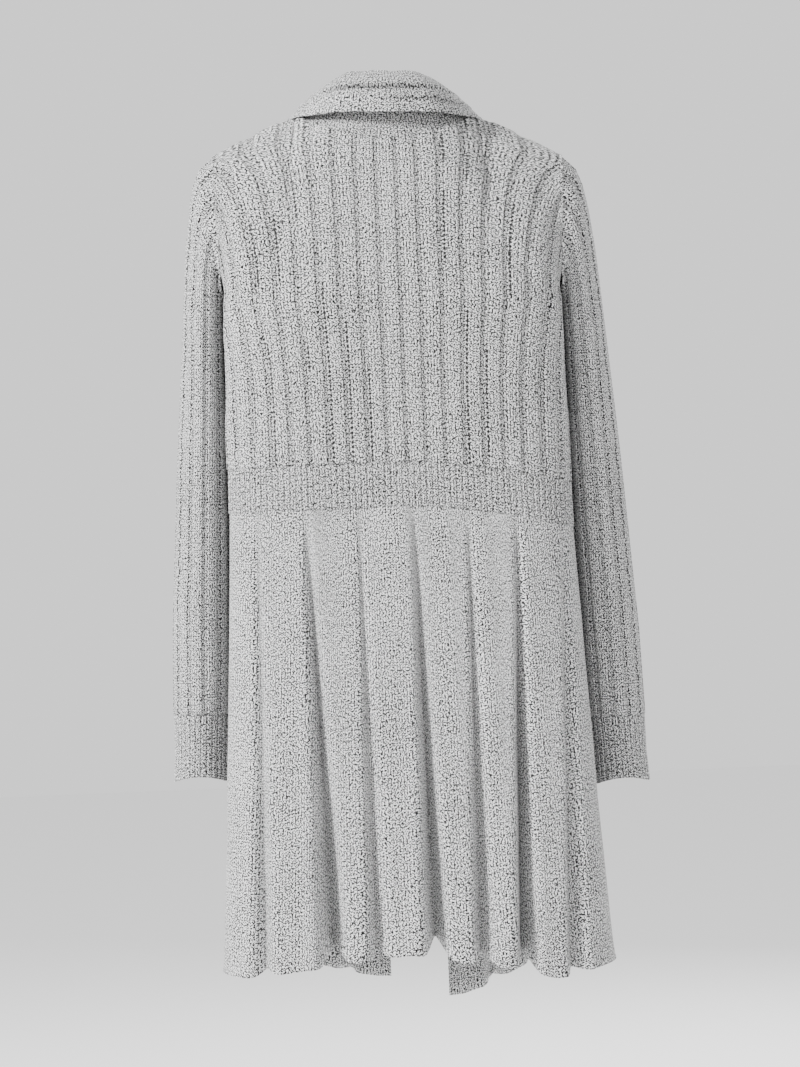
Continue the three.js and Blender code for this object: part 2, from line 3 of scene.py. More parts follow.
import bpy
import numpy as np
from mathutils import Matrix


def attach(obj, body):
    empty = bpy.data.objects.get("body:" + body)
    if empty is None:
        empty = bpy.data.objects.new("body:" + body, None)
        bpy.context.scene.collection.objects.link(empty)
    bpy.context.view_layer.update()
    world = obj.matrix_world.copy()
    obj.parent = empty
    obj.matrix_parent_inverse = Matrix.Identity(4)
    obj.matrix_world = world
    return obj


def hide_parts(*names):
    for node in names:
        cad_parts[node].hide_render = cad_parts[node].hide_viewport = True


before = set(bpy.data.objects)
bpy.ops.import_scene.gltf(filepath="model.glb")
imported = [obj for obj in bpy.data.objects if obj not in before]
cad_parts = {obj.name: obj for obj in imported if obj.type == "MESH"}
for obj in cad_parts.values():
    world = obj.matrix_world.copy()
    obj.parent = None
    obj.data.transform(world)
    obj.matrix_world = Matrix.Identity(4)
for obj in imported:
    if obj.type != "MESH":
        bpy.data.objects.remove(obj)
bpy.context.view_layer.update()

# Studio
# A pale floor far below the hanging garment and a pale room of even light, with a key lamp at one
# side behind, a weak fill at the other and a lamp for the front. The camera stands behind the wearer,
# level with the waist, and leans as the picture does.
FLOOR_Z = -1.40
FLOOR_HALF = 9.0
CAMERA_DISTANCE = 3.1
CAMERA_SIDE = 0.0020
CAMERA_HEIGHT = -0.4215
CAMERA_LEAN = math.radians(2.35)
PICTURE_HEIGHT = 1.067
SENSOR_MM = 36.0
ROOM_LIGHT = 1.15


def plain_material(name, colour, roughness):
    material = bpy.data.materials.new(name)
    material.use_nodes = True
    shader = material.node_tree.nodes["Principled BSDF"]
    shader.inputs["Base Color"].default_value = (*colour, 1.0)
    shader.inputs["Roughness"].default_value = roughness
    return material


floor_mesh = bpy.data.meshes.new("studio_floor")
floor_corners = [(x, y, FLOOR_Z) for x, y in ((-1, -1), (1, -1), (1, 1), (-1, 1))]
floor_corners = [(x * FLOOR_HALF, y * FLOOR_HALF, z) for x, y, z in floor_corners]
floor_mesh.from_pydata(floor_corners, [], [(0, 1, 2, 3)])
floor = bpy.data.objects.new("studio_floor", floor_mesh)
floor_mesh.materials.append(plain_material("floor_white", (0.93, 0.93, 0.93), 0.9))
bpy.context.scene.collection.objects.link(floor)

world = bpy.data.worlds.new("pale_room")
world.use_nodes = True
world.node_tree.nodes["Background"].inputs["Color"].default_value = (1.0, 1.0, 1.0, 1.0)
world.node_tree.nodes["Background"].inputs["Strength"].default_value = ROOM_LIGHT
bpy.context.scene.world = world


def soft_lamp(name, place, target, size, power):
    data = bpy.data.lights.new(name, "AREA")
    data.shape = "DISK"
    data.size = size
    data.energy = power
    lamp = bpy.data.objects.new(name, data)
    lamp.location = place
    aim = np.array(target) - np.array(place)
    yaw = math.atan2(aim[1], aim[0]) - math.pi / 2
    pitch = math.atan2(aim[2], math.hypot(aim[0], aim[1])) + math.pi / 2
    lamp.rotation_euler = (pitch, 0.0, yaw)
    bpy.context.scene.collection.objects.link(lamp)


soft_lamp("key_lamp", (2.5, 1.7, 1.0), (0.0, 0.0, -0.4), 0.7, 290.0)
soft_lamp("fill_lamp", (-1.6, 2.5, -0.1), (0.0, 0.0, -0.5), 1.4, 26.0)
soft_lamp("front_lamp", (-1.0, -2.8, 0.9), (0.0, 0.0, -0.4), 1.2, 110.0)

camera_data = bpy.data.cameras.new("camera")
camera_data.sensor_fit = "VERTICAL"
camera_data.sensor_height = SENSOR_MM
camera_data.lens = SENSOR_MM * (CAMERA_DISTANCE - 0.04) / PICTURE_HEIGHT
camera = bpy.data.objects.new("camera", camera_data)
camera.location = (CAMERA_SIDE, CAMERA_DISTANCE, CAMERA_HEIGHT)
camera.rotation_euler = (math.pi / 2, CAMERA_LEAN, math.pi)
bpy.context.scene.collection.objects.link(camera)
bpy.context.scene.camera = camera

# Bodice
# The back and the two fronts are knitted in wide flat ribs parted by narrow sunk ribs, in a yarn of
# black and white strands twisted together. They are linked at the sides and over the shoulders.
WALL = 2.0
# Level sections of the body: height, half width, depth behind and depth in front
BODY_Z = [-850, -690, -540, -395, -352, -280, -190]
BODY_WIDE = [193, 184, 176, 170, 169, 167, 166]
BODY_BACK = [112, 103, 92, 82, 82, 86, 92]
BODY_FRONT = [112, 106, 98, 92, 92, 94, 94]
CORNER_POWER = 3.2
FRONT_TAPER = 0.26
ARMPIT_Z = -190.0
WAIST_TOP_Z = -351.0
WAIST_BOTTOM_Z = -394.0
WAIST_DIP = 26.0
WAIST_HALF = 170.0
WAIST_SAG_CURVE = 1.6
SHOULDER_TILT = 0.036
TILT_TOP_Z = -60.0
TILT_FOOT_Z = -320.0
NECK_HALF = 88.0
NECK_BACK_Z = -26.0
NECK_BACK_Y = 52.0
NECK_SQUARENESS = 2.6
NECK_FULLNESS = 0.65
NECK_DIP_CURVE = 2.2
SHOULDER_HALF = 176.0
SHOULDER_DROP = 42.0
SHOULDER_Y = -2.0
SHOULDER_CURVE = 1.15
ARMHOLE_HALF_DEPTH = 46.0
ARMHOLE_BOW = 3.0
ARMHOLE_CURVE = 1.25
YOKE_CURVE = 1.7
YOKE_EDGE_CURVE = 3
FRONT_OPENING_HALF = 42.0
FRONT_EDGE_Z = [-900, -351, -190, -95, 0]
FRONT_EDGE_OUT = [FRONT_OPENING_HALF, 43, 62, 75, 88]
YOKE_RUN = 150.0
BODICE_LOW = (ARMPIT_Z - WAIST_TOP_Z) / (ARMPIT_Z - WAIST_TOP_Z + YOKE_RUN)
SIDE = 0.25
SEAM_GAP = 0.3
RIB_PITCH = 18.7
RIB_RISE = 1.5
RIB_FOOT = 0.385
RIB_FLANK = 0.08
RIB_ROUNDNESS = 0.9
SUNK_DEPTH = 0.35
RING_STEPS = 720
SHELL = 0.0017


def smooth(t):
    t = np.clip(t, 0.0, 1.0)
    return t * t * (3 - 2 * t)


def mix(a, b, t):
    return a + (b - a) * t


def section(z):
    """One level section of the body: its share of the way round, X and Y, and its girth."""
    wide, back, front = (np.interp(z, BODY_Z, row) for row in (BODY_WIDE, BODY_BACK, BODY_FRONT))
    angle = np.linspace(0.0, 2 * np.pi, RING_STEPS + 1)
    power = 2 / CORNER_POWER
    x = np.sign(np.sin(angle)) * np.abs(np.sin(angle)) ** power
    x = x * (1 - FRONT_TAPER * (1 - np.cos(angle)) / 2)
    y = np.sign(np.cos(angle)) * np.abs(np.cos(angle)) ** power
    x *= wide / x.max()
    y = y * np.where(y > 0, back, front)
    run = np.concatenate([[0.0], np.cumsum(np.hypot(np.diff(x), np.diff(y)))])
    return run / run[-1], x, y, run[-1]


def around(ring, share):
    run, x, y, _ = ring
    share = np.mod(share, 1.0)
    return np.interp(share, run, x), np.interp(share, run, y)


def share_at(ring, out, behind):
    """The share of the way round at a sideways place on the wearer's left, behind or in front."""
    run, x, _, _ = ring
    if behind:
        part = run < 0.2
        return float(np.interp(out, x[part], run[part]))
    part = (run > 0.28) & (run <= 0.5)
    return float(np.interp(out, x[part][::-1], run[part][::-1]))


def waist_dip(x):
    return -WAIST_DIP * np.clip(-x / WAIST_HALF, 0.0, 1.0) ** WAIST_SAG_CURVE


def armpit_point():
    x, y = around(section(ARMPIT_Z), SIDE)
    return np.array([x, y, ARMPIT_Z])


ARMPIT = armpit_point()
SHOULDER_TIP = np.array([SHOULDER_HALF, SHOULDER_Y, -SHOULDER_DROP])


def armhole(turn):
    """The armhole's edge on the wearer's left: 0 is its top, a quarter behind, a half the armpit."""
    angle = 2 * np.pi * turn
    high = (1 + np.cos(angle)) / 2
    x = mix(ARMPIT[0], SHOULDER_TIP[0], high**ARMHOLE_CURVE) + ARMHOLE_BOW * np.sin(angle) ** 2
    y = mix(ARMPIT[1], SHOULDER_TIP[1], high) + ARMHOLE_HALF_DEPTH * np.sin(angle)
    return np.stack([x, y, mix(ARMPIT[2], SHOULDER_TIP[2], high)], -1)


def shoulder_line(x, y):
    slope = np.clip((np.abs(x) - NECK_HALF) / (SHOULDER_HALF - NECK_HALF), 0, None)
    return np.stack([x, y, -SHOULDER_DROP * slope**SHOULDER_CURVE], -1)


def back_top(side):
    x = side * SHOULDER_HALF
    near = np.abs(x) / NECK_HALF
    neck = np.clip(1 - np.minimum(near, 1) ** NECK_SQUARENESS, 0, None) ** NECK_FULLNESS
    y = SEAM_GAP / 2 + np.where(near < 1, NECK_BACK_Y * neck, SHOULDER_Y * np.clip(near - 1, 0, None) ** 2)
    top = shoulder_line(x, y)
    dip = NECK_BACK_Z * (1 - np.minimum(near, 1) ** NECK_DIP_CURVE)
    top[..., 2] = np.where(near < 1, dip, top[..., 2])
    return top


def yoke(low, top, edge, foot, head, edge_share, up):
    """From the armpit level up to the shoulder, with the panel's side drawn to the armhole."""
    lift = np.stack([up, up**YOKE_CURVE, up], -1)
    return mix(low, top, lift) + (edge - mix(foot, head, lift)) * (edge_share**YOKE_EDGE_CURVE)[..., None]


def back_bodice(across, up):
    side = across * 2 - 1
    rows = []
    for s, u in zip(side, up):
        if u[0] < BODICE_LOW:
            t = u[0] / BODICE_LOW
            z = mix(WAIST_TOP_Z, ARMPIT_Z, t)
            ring = section(z)
            x, y = around(ring, s * (SIDE - SEAM_GAP / 2 / ring[3]))
            rows.append(np.stack([x, y, z + (waist_dip(x) + SEAM_GAP) * (1 - t)], -1))
            continue
        t = (u - BODICE_LOW) / (1 - BODICE_LOW)
        ring = section(ARMPIT_Z)
        x, y = around(ring, s * (SIDE - SEAM_GAP / 2 / ring[3]))
        sign = np.where(s < 0, -1.0, 1.0)[:, None] * np.array([1, 0, 0]) + np.array([0, 1, 1])
        ends = [armhole(0.5 - t / 2) * sign, armhole(np.full_like(s, 0.5)) * sign]
        head = back_top(np.ones_like(s)) * sign
        low = np.stack([x, y, np.full_like(x, ARMPIT_Z)], -1)
        rows.append(yoke(low, back_top(s), ends[0], ends[1], head, np.abs(s), t))
    return np.array(rows)


def front_bodice(sign):
    def surface(across, up):
        rows = []
        for a, u in zip(across, up):
            low_part = u[0] < BODICE_LOW
            t = u[0] / BODICE_LOW if low_part else (u[0] - BODICE_LOW) / (1 - BODICE_LOW)
            z = mix(WAIST_TOP_Z, ARMPIT_Z, t) if low_part else ARMPIT_Z
            ring = section(z)
            edge = share_at(ring, np.interp(z, FRONT_EDGE_Z, FRONT_EDGE_OUT), False)
            gap = SEAM_GAP / 2 / ring[3]
            x, y = around(ring, mix(SIDE + gap, edge - gap, a))
            if low_part:
                z = z + (waist_dip(x * sign) + SEAM_GAP) * (1 - t)
                rows.append(np.stack([x * sign, y, z], -1))
                continue
            low = np.stack([x, y, np.full_like(x, z)], -1)
            seam_y = -SEAM_GAP / 2 + SHOULDER_Y
            top = shoulder_line(mix(SHOULDER_HALF, NECK_HALF, a), -SEAM_GAP / 2 + SHOULDER_Y * (1 - a))
            head = shoulder_line(np.full_like(a, SHOULDER_HALF), np.full_like(a, seam_y))
            edge_row = armhole(np.full_like(a, 0.5 + t / 2))
            row = yoke(low, top, edge_row, armhole(np.full_like(a, 0.5)), head, 1 - a, np.full_like(a, t))
            row[:, 0] *= sign
            rows.append(row)
        return np.array(rows)

    return surface


def soft_creases(across, up, creases):
    """Listed folds: place across and up, half length, half width, lean in turns and height."""
    height = np.zeros_like(across)
    for a, u, long, narrow, lean, rise in creases:
        along = (across - a) * math.sin(lean) + (up - u) * math.cos(lean)
        over = (across - a) * math.cos(lean) - (up - u) * math.sin(lean)
        height += rise * np.exp(-((along / long) ** 2)) * np.exp(-((over / narrow) ** 2))
    return height


def settle(points):
    high = smooth((points[..., 2] - TILT_FOOT_Z) / (TILT_TOP_Z - TILT_FOOT_Z))
    points[..., 2] += SHOULDER_TILT * points[..., 0] * high
    return points


def run_of(steps):
    return np.concatenate([[0.0], np.cumsum(steps)])


def cloth_piece(name, surface, grid, width, turn, height, closed=False, extra=None):
    """A knitted panel as a fine grid off its surface. Its map is in metres: up each column by that
    column's length, and across by the mean length, or by the width that its count of ribs gives."""
    columns, rows = grid
    across, up = np.meshgrid(np.linspace(0, 1, columns + 1), np.linspace(0, 1, rows + 1))
    base = surface(across, up)
    if closed:
        padded = np.concatenate([base[:, -2:-1], base, base[:, 1:2]], 1)
        along = padded[:, 2:] - padded[:, :-2]
    else:
        along = np.gradient(base, axis=1)
    normal = np.cross(along, np.gradient(base, axis=0)) * turn
    normal /= np.linalg.norm(normal, axis=-1, keepdims=True) + 1e-9
    points = settle(base + normal * (WALL + height(across, up))[..., None])
    last = columns if closed else columns + 1
    points = points[:, :last]
    count = points.shape[1]
    row, column = np.meshgrid(np.arange(rows), np.arange(columns), indexing="ij")
    after = (column + 1) % count
    low, high = row * count, (row + 1) * count
    faces = np.stack([low + column, low + after, high + after, high + column], -1).reshape(-1, 4)
    steps_up = np.linalg.norm(np.diff(base, axis=0), axis=-1)
    run_up = np.concatenate([np.zeros((1, columns + 1)), np.cumsum(steps_up, axis=0)])
    run_across = run_of(np.linalg.norm(np.diff(base, axis=1), axis=-1).mean(0))
    if width:
        run_across = np.linspace(0, width, columns + 1)
    corner_columns = np.stack([column, column + 1, column + 1, column], -1).reshape(-1)
    corners_across = run_across[corner_columns]
    corner_rows = np.stack([row, row, row + 1, row + 1], -1).reshape(-1)
    corners_up = run_up[corner_rows, corner_columns]
    if turn < 0:
        faces = faces[:, ::-1]
        corners_across = corners_across.reshape(-1, 4)[:, ::-1].reshape(-1)
        corners_up = corners_up.reshape(-1, 4)[:, ::-1].reshape(-1)
    mesh = bpy.data.meshes.new(name)
    mesh.from_pydata((points.reshape(-1, 3) / 1000).tolist(), [], faces.tolist())
    lay = mesh.uv_layers.new(name="cloth")
    uv = np.stack([corners_across, corners_up], -1) / 1000
    lay.data.foreach_set("uv", uv.astype(np.float32).reshape(-1))
    for label, values in (extra(across, up) if extra else {}).items():
        layer = mesh.attributes.new(label, "FLOAT", "POINT")
        layer.data.foreach_set("value", values[:, :last].astype(np.float32).reshape(-1))
    mesh.polygons.foreach_set("use_smooth", np.ones(len(mesh.polygons), dtype=bool))
    mesh.update()
    piece = bpy.data.objects.new(name, mesh)
    bpy.context.scene.collection.objects.link(piece)
    return piece


class Nodes:
    """Short hands for adding maths to one node tree, of a material or of a piece's form."""

    def __init__(self, tree):
        self.tree = tree

    def add(self, kind, **settings):
        node = self.tree.nodes.new(kind)
        for key, value in settings.items():
            setattr(node, key, value)
        return node

    def plug(self, value, socket):
        if isinstance(value, (int, float)):
            socket.default_value = value
        else:
            self.tree.links.new(value, socket)

    def maths(self, operation, *values):
        node = self.add("ShaderNodeMath", operation=operation)
        for value, socket in zip(values, node.inputs):
            self.plug(value, socket)
        return node.outputs[0]

    def rise(self, value, low, high):
        node = self.add("ShaderNodeMapRange", interpolation_type="SMOOTHSTEP")
        for given, socket in zip((value, low, high, 0.0, 1.0), node.inputs):
            self.plug(given, socket)
        return node.outputs[0]

    def noise(self, place, scale, detail):
        node = self.add("ShaderNodeTexNoise")
        node.inputs["Scale"].default_value = scale
        node.inputs["Detail"].default_value = detail
        self.tree.links.new(place, node.inputs["Vector"])
        return node.outputs["Fac"]


WALES_A_RIB = 6
COURSE_MM = 2.4
STITCH_SLANT = 1.2
STRANDS_A_WALE = 2.4
STRANDS_A_COURSE = 1.5
STREAK_DETAIL = 0.6
DRIFT_SCALE = 16.0
DRIFT_DETAIL = 3.0
DRIFT_TONE = 0.06
# Painted shade of the stitch relief: the marl leans dark in the gaps between loops and between wales
LOOP_GAP_SHADE = 0.055
WALE_GAP_SHADE = 0.08
MARL_LOW = 0.545
MARL_HIGH = 0.645
YARN_WHITE = 1.2
# Painted shade of the ribs: the sunk ribs darkened, and a darker line at each rib's edge where the crevice
# lies in shade
SUNK_FROM = 0.31
SUNK_TO = 0.41
SUNK_SHADE = 0.16
EDGE_SHADE = 0.32
# Painted shade in the collar's creases
CREASE_SHADE = 0.7
# Place and reach of the painted shade line at each rib's edge
EDGE_OFF = 0.345
EDGE_REACH = 0.05
# Pin holes: real holes in the knit, painted dark for the shade inside the garment, and sunk a little
PIN_PHASE = 0.845
PIN_PITCH_MM = 4.7
PIN_RIM_MM = 1.8
PIN_CORE_MM = 0.9
PIN_SHADE = 0.95
PIN_DEPTH = 2.0
STREAK_RELIEF = 1.2
LOOP_RELIEF = 0.5
RELIEF_STRENGTH = 0.6
RELIEF_M = 0.0007


def knit_material(
    name, tone, pitch=RIB_PITCH, wales=WALES_A_RIB, ribs=0.0, fanned=False, painted_crease_shade=False
):
    """Marled knit laid by the piece's own measures: slanting stitch legs of light and dark strands,
    with painted shade in the gaps between loops and wales, and painted shade along the sunk ribs and
    rib edges where the piece is ribbed. The fanned one has its pin holes too, real holes painted dark
    for the shade inside them, and with painted_crease_shade its creases carry painted shade."""
    material = bpy.data.materials.new(name)
    material.use_nodes = True
    tree = material.node_tree
    shader = tree.nodes["Principled BSDF"]
    n = Nodes(tree)
    place = n.add("ShaderNodeUVMap", uv_map="cloth").outputs[0]
    split = n.add("ShaderNodeSeparateXYZ")
    tree.links.new(place, split.inputs[0])
    along = n.maths("MULTIPLY", split.outputs[1], 1000.0)
    if fanned:
        phase = n.add("ShaderNodeAttribute", attribute_name="rib").outputs["Fac"]
    else:
        phase = n.maths("MULTIPLY", split.outputs[0], 1000.0 / pitch)
    wale = n.maths("MULTIPLY", phase, wales)
    in_wale = n.maths("FRACT", wale)
    leg = n.maths("ABSOLUTE", n.maths("SUBTRACT", in_wale, 0.5))
    course = n.maths("MULTIPLY_ADD", along, 1 / COURSE_MM, n.maths("MULTIPLY", leg, STITCH_SLANT))

    # Strands: one patch for each short run of yarn, and a broader drift of tone
    strands = n.add("ShaderNodeCombineXYZ")
    n.plug(n.maths("MULTIPLY", wale, STRANDS_A_WALE), strands.inputs[0])
    n.plug(n.maths("MULTIPLY", course, STRANDS_A_COURSE), strands.inputs[1])
    streaks = n.noise(strands.outputs[0], 1.0, STREAK_DETAIL)
    drift = n.noise(place, DRIFT_SCALE, DRIFT_DETAIL)
    # Painted shade of the stitch relief: the marl leans dark between the courses of loops and at the wales'
    # sides, light on their crowns
    loops = n.maths("SINE", n.maths("MULTIPLY", course, 2 * math.pi))
    sides = n.maths("SINE", n.maths("MULTIPLY", in_wale, math.pi))
    level = n.maths("MULTIPLY_ADD", drift, DRIFT_TONE, streaks)
    level = n.maths("MULTIPLY_ADD", loops, LOOP_GAP_SHADE, level)
    level = n.maths("MULTIPLY_ADD", sides, WALE_GAP_SHADE, level)
    light = n.rise(level, MARL_LOW, MARL_HIGH)
    body = n.maths("MULTIPLY", light, tone * YARN_WHITE)
    relief = n.maths("MULTIPLY_ADD", streaks, STREAK_RELIEF, sides)
    relief = n.maths("MULTIPLY_ADD", loops, LOOP_RELIEF, relief)
    # Painted shade: the sunk ribs darkened and a darker painted line along each rib's edge, where the
    # crevices lie in shade
    if ribs:
        off = n.maths("ABSOLUTE", n.maths("SUBTRACT", n.maths("FRACT", phase), 0.5))
        sunk = n.rise(off, SUNK_FROM, SUNK_TO)
        edge = n.rise(n.maths("ABSOLUTE", n.maths("SUBTRACT", off, EDGE_OFF)), EDGE_REACH, 0.0)
        shade = n.maths("MULTIPLY", edge, EDGE_SHADE * ribs)
        shade = n.maths("MULTIPLY_ADD", sunk, SUNK_SHADE * ribs, shade)
        body = n.maths("MULTIPLY", body, n.maths("SUBTRACT", 1.0, shade))
    # Pin holes along the marked ladders: real holes, painted dark for the shade inside the garment, and
    # sunk in the relief
    if fanned:
        shown = n.add("ShaderNodeAttribute", attribute_name="ladder").outputs["Fac"]
        pins = n.maths("MULTIPLY", along, 1 / PIN_PITCH_MM)
        step = n.maths("SUBTRACT", n.maths("FRACT", pins), 0.5)
        aside = n.maths("SUBTRACT", n.maths("FRACT", phase), PIN_PHASE)
        spot = n.add("ShaderNodeCombineXYZ")
        n.plug(n.maths("MULTIPLY", aside, pitch), spot.inputs[0])
        n.plug(n.maths("MULTIPLY", step, PIN_PITCH_MM), spot.inputs[1])
        length = n.add("ShaderNodeVectorMath", operation="LENGTH")
        tree.links.new(spot.outputs[0], length.inputs[0])
        hole = n.maths("MULTIPLY", shown, n.rise(length.outputs["Value"], PIN_RIM_MM, PIN_CORE_MM))
        body = n.maths("MULTIPLY", body, n.maths("MULTIPLY_ADD", hole, -PIN_SHADE, 1.0))
        relief = n.maths("MULTIPLY_ADD", hole, -PIN_DEPTH, relief)
    # Painted shade along the collar's creases, where its strips lie over each other
    if painted_crease_shade:
        deep = n.add("ShaderNodeAttribute", attribute_name="crease").outputs["Fac"]
        body = n.maths("MULTIPLY", body, n.maths("MULTIPLY_ADD", deep, -CREASE_SHADE, 1.0))
    grey = n.add("ShaderNodeCombineColor")
    for socket in grey.inputs[:3]:
        tree.links.new(body, socket)
    tree.links.new(grey.outputs[0], shader.inputs["Base Color"])
    bump = n.add("ShaderNodeBump")
    bump.inputs["Strength"].default_value = RELIEF_STRENGTH
    bump.inputs["Distance"].default_value = RELIEF_M
    tree.links.new(relief, bump.inputs["Height"])
    tree.links.new(bump.outputs[0], shader.inputs["Normal"])
    shader.inputs["Roughness"].default_value = 0.92
    shader.inputs["Specular IOR Level"].default_value = 0.2
    shader.inputs["Sheen Weight"].default_value = 0.2
    shader.inputs["Sheen Roughness"].default_value = 0.5
    return material


def finish(piece, node, material):
    if not piece.data.materials:
        piece.data.materials.append(material)
    shell = piece.modifiers.new("thickness", "SOLIDIFY")
    shell.thickness = SHELL
    shell.offset = -1.0
    shell.use_rim = True
    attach(piece, "root")
    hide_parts(node)


def rib_height(phase):
    """A flat rib over the middle of each turn of the phase, with a sunk rib between."""
    off = np.abs(np.mod(phase, 1.0) - 0.5)
    crown = smooth((RIB_FOOT - off) / RIB_FLANK)
    return RIB_RISE * crown * (1 - RIB_ROUNDNESS * off**2) - SUNK_DEPTH * (1 - crown)


FRONT_RIBS = 9
FAN_START = 0.196
FAN_END = 0.92
FAN_POWER = 1.9
FAN_PULL = 0.31
FAN_HALF = 164.0
FAN_CURVE = 1.2
BACK_ARC = 430.0
MIDDLE_RIB = 60
# Ladders of pin holes, painted dark for the shade inside the garment: rib counted from the middle, lower
# end and upper end
LADDERS = [
    (7, 0.10, 0.50),
    (6, 0.00, 0.39),
    (6, 0.56, 0.73),
    (5, 0.57, 0.74),
    (4, 0.30, 0.38),
    (4, 0.73, 0.88),
    (3, 0.00, 0.56),
    (2, 0.00, 0.45),
    (1, 0.00, 0.30),
    (-3, 0.61, 0.82),
    (-3, 0.90, 0.98),
    (-4, 0.00, 0.48),
    (-4, 0.83, 0.90),
    (-5, 0.02, 0.36),
    (-6, 0.51, 0.77),
]


def back_phase(across, up):
    """Which rib a place lies in. Towards the shoulders the ribs lean out and run off at the armhole."""
    side = across * 2 - 1
    fan = np.clip((up - FAN_START) / (FAN_END - FAN_START), 0, 1) ** FAN_POWER
    x = side * SHOULDER_HALF
    pull = FAN_PULL * np.clip(np.abs(x) / FAN_HALF, 0, 1.2) ** FAN_CURVE
    return mix(side * BACK_ARC / 2, x * (1 - pull), fan) / RIB_PITCH + MIDDLE_RIB + 0.5


def back_marks(across, up):
    phase = back_phase(across, up)
    shown = np.zeros_like(across)
    for rib, low, high in LADDERS:
        shown[(np.floor(phase) == rib + MIDDLE_RIB) & (up >= low) & (up <= high)] = 1.0
    return {"rib": phase, "ladder": shown}


# Creases: across, up, half length, half width, lean and height
BACK_CREASES = [
    (0.13, 0.50, 0.10, 0.020, 0.35, 2.2),
    (0.87, 0.52, 0.12, 0.020, -0.40, 2.4),
    (0.20, 0.62, 0.12, 0.030, 0.60, -1.8),
    (0.80, 0.64, 0.13, 0.030, -0.60, -1.8),
    (0.36, 0.22, 0.16, 0.050, 0.20, 1.2),
    (0.64, 0.30, 0.18, 0.050, -0.15, 1.3),
    (0.50, 0.58, 0.20, 0.070, 0.05, -1.2),
    (0.10, 0.18, 0.10, 0.030, 0.15, 1.6),
    (0.91, 0.14, 0.11, 0.030, -0.20, 1.8),
]
FRONT_CREASES = [
    (0.25, 0.50, 0.14, 0.05, 0.5, 2.2),
    (0.15, 0.66, 0.12, 0.05, 0.7, -1.8),
    (0.60, 0.25, 0.20, 0.09, 0.1, 1.3),
]
BODICE_TONE = 0.52
# Both bodice knits carry painted shade along their sunk ribs and rib edges
fanned_knit = knit_material("marled_fanned_rib", BODICE_TONE, ribs=1.0, fanned=True)
wide_knit = knit_material("marled_wide_rib", BODICE_TONE, ribs=1.0)

piece = cloth_piece(
    "back_bodice_knit", back_bodice, (230, 120), None, -1,
    lambda a, u: rib_height(back_phase(a, u)) + soft_creases(a, u, BACK_CREASES),
    extra=back_marks,
)
finish(piece, "back_bodice", fanned_knit)
for sign, side_name, turn in ((1, "left", -1), (-1, "right", 1)):
    piece = cloth_piece(
        side_name + "_front_bodice_knit", front_bodice(sign), (96, 120), FRONT_RIBS * RIB_PITCH, turn,
        lambda a, u: rib_height(a * FRONT_RIBS) + soft_creases(a, u, FRONT_CREASES),
    )
    finish(piece, side_name + "_front_bodice", wide_knit)

# Waistband
# A band of fine one by one ribs in the same yarn, linked between the bodice and the skirt. It sags
# to the wearer's right and grips a little closer than the cloth above and below it.
FINE_RISE = 0.8
FINE_EVENNESS = 0.8
FINE_ROUNDNESS = 0.8
FINE_SEED = 11
FINE_PITCH = 5.9
SEAM_LAP = 0.8
BACK_FINE_RIBS = 75
FRONT_FINE_RIBS = 28


def panel_start(ring):
    return SEAM_GAP / 2 / ring[3] - SIDE


def panel_stop(ring):
    return SIDE - SEAM_GAP / 2 / ring[3]


def front_start(ring):
    return SIDE + SEAM_GAP / 2 / ring[3]


def front_stop(ring):
    return share_at(ring, FRONT_OPENING_HALF + SEAM_GAP, False)


def waistband(start, stop, sign):
    def surface(across, up):
        rows = []
        for a, u in zip(across, up):
            z = mix(WAIST_BOTTOM_Z - SEAM_LAP, WAIST_TOP_Z + SEAM_LAP, u[0])
            ring = section(z)
            x, y = around(ring, mix(start(ring), stop(ring), a))
            rows.append(np.stack([x * sign, y, z + waist_dip(x * sign)], -1))
        return np.array(rows)

    return surface


